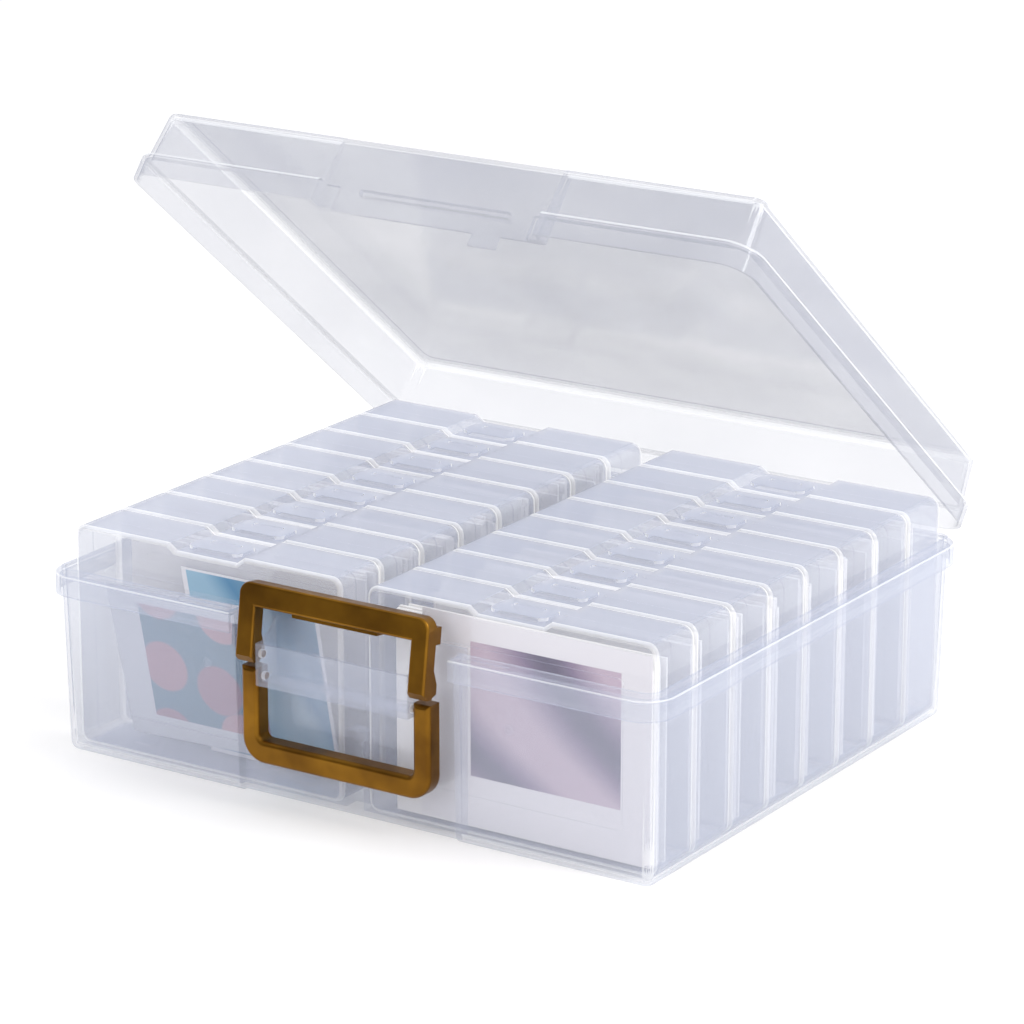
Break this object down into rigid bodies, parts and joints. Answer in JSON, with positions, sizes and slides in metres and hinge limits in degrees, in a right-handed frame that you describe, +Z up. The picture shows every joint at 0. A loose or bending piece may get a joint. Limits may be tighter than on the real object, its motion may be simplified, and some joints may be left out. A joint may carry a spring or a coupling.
{
  "type": "photo keeper case",
  "caption": "Clear plastic photo keeper case with a hinged lid, front latch, folding carry handle and lift-out inner photo cases in two columns.",
  "frame": {"origin": "middle of the tub's underside, on the surface it stands on", "axes": "+X along the front from left to right, +Y from the front to the back, +Z up"},
  "size_m": [0.376, 0.3479, 0.325],
  "materials": {
    "clear_tub": "cloudy clear polypropylene",
    "clear_lid": "clear polypropylene",
    "clear_case": "clear polypropylene",
    "gold": "satin bronze-gold moulded plastic",
    "paper": "edges of photo paper"
  },
  "bodies": {
    "tub": {"tub": "clear_tub"},
    "lid": {"lid": "clear_lid"},
    "latch": {"latch": "gold"},
    "carry_handle": {"carry_handle": "gold"},
    "case_left_1": {"case_left_1_cover": "clear_case", "case_left_1_tray": "clear_case", "case_left_1_photos": "paper"},
    "case_left_2": {"case_left_2_cover": "clear_case", "case_left_2_tray": "clear_case", "case_left_2_photos": "paper"},
    "case_left_3": {"case_left_3_cover": "clear_case", "case_left_3_tray": "clear_case", "case_left_3_photos": "paper"},
    "case_left_4": {"case_left_4_cover": "clear_case", "case_left_4_tray": "clear_case", "case_left_4_photos": "paper"},
    "case_left_5": {"case_left_5_cover": "clear_case", "case_left_5_tray": "clear_case", "case_left_5_photos": "paper"},
    "case_left_6": {"case_left_6_cover": "clear_case", "case_left_6_tray": "clear_case", "case_left_6_photos": "paper"},
    "case_left_7": {"case_left_7_cover": "clear_case", "case_left_7_tray": "clear_case", "case_left_7_photos": "paper"},
    "case_left_8": {"case_left_8_cover": "clear_case", "case_left_8_tray": "clear_case", "case_left_8_photos": "paper"},
    "case_right_1": {"case_right_1_cover": "clear_case", "case_right_1_tray": "clear_case", "case_right_1_photos": "paper"},
    "case_right_2": {"case_right_2_cover": "clear_case", "case_right_2_tray": "clear_case", "case_right_2_photos": "paper"},
    "case_right_3": {"case_right_3_cover": "clear_case", "case_right_3_tray": "clear_case", "case_right_3_photos": "paper"},
    "case_right_4": {"case_right_4_cover": "clear_case", "case_right_4_tray": "clear_case", "case_right_4_photos": "paper"},
    "case_right_5": {"case_right_5_cover": "clear_case", "case_right_5_tray": "clear_case", "case_right_5_photos": "paper"},
    "case_right_6": {"case_right_6_cover": "clear_case", "case_right_6_tray": "clear_case", "case_right_6_photos": "paper"},
    "case_right_7": {"case_right_7_cover": "clear_case", "case_right_7_tray": "clear_case", "case_right_7_photos": "paper"},
    "case_right_8": {"case_right_8_cover": "clear_case", "case_right_8_tray": "clear_case", "case_right_8_photos": "paper"}
  },
  "joints": [
    {"name": "lid_hinge", "type": "hinge", "parent": "tub", "child": "lid", "pos_m": [0, 0.1623, 0.092], "axis": [-1, 0, 0], "range_deg": [-39, 71]},
    {"name": "latch_hinge", "type": "hinge", "parent": "tub", "child": "latch", "pos_m": [0, -0.1585, 0.0815], "axis": [1, 0, 0], "range_deg": [0, 95]},
    {"name": "handle_hinge", "type": "hinge", "parent": "tub", "child": "carry_handle", "pos_m": [0, -0.1562, 0.0691], "axis": [-1, 0, 0], "range_deg": [-6, 90]},
    {"name": "case_left_1_lift", "type": "slide", "parent": "tub", "child": "case_left_1", "axis": [0, 0, 1], "range_m": [0, 0.105]},
    {"name": "case_left_2_lift", "type": "slide", "parent": "tub", "child": "case_left_2", "axis": [0, 0, 1], "range_m": [0, 0.105]},
    {"name": "case_left_3_lift", "type": "slide", "parent": "tub", "child": "case_left_3", "axis": [0, 0, 1], "range_m": [0, 0.105]},
    {"name": "case_left_4_lift", "type": "slide", "parent": "tub", "child": "case_left_4", "axis": [0, 0, 1], "range_m": [0, 0.105]},
    {"name": "case_left_5_lift", "type": "slide", "parent": "tub", "child": "case_left_5", "axis": [0, 0, 1], "range_m": [0, 0.1]},
    {"name": "case_left_6_lift", "type": "slide", "parent": "tub", "child": "case_left_6", "axis": [0, 0, 1], "range_m": [0, 0.072]},
    {"name": "case_left_7_lift", "type": "slide", "parent": "tub", "child": "case_left_7", "axis": [0, 0, 1], "range_m": [0, 0.042]},
    {"name": "case_left_8_lift", "type": "slide", "parent": "tub", "child": "case_left_8", "axis": [0, 0, 1], "range_m": [0, 0.015]},
    {"name": "case_right_1_lift", "type": "slide", "parent": "tub", "child": "case_right_1", "axis": [0, 0, 1], "range_m": [0, 0.105]},
    {"name": "case_right_2_lift", "type": "slide", "parent": "tub", "child": "case_right_2", "axis": [0, 0, 1], "range_m": [0, 0.105]},
    {"name": "case_right_3_lift", "type": "slide", "parent": "tub", "child": "case_right_3", "axis": [0, 0, 1], "range_m": [0, 0.105]},
    {"name": "case_right_4_lift", "type": "slide", "parent": "tub", "child": "case_right_4", "axis": [0, 0, 1], "range_m": [0, 0.105]},
    {"name": "case_right_5_lift", "type": "slide", "parent": "tub", "child": "case_right_5", "axis": [0, 0, 1], "range_m": [0, 0.1]},
    {"name": "case_right_6_lift", "type": "slide", "parent": "tub", "child": "case_right_6", "axis": [0, 0, 1], "range_m": [0, 0.072]},
    {"name": "case_right_7_lift", "type": "slide", "parent": "tub", "child": "case_right_7", "axis": [0, 0, 1], "range_m": [0, 0.042]},
    {"name": "case_right_8_lift", "type": "slide", "parent": "tub", "child": "case_right_8", "axis": [0, 0, 1], "range_m": [0, 0.015]}
  ]
}
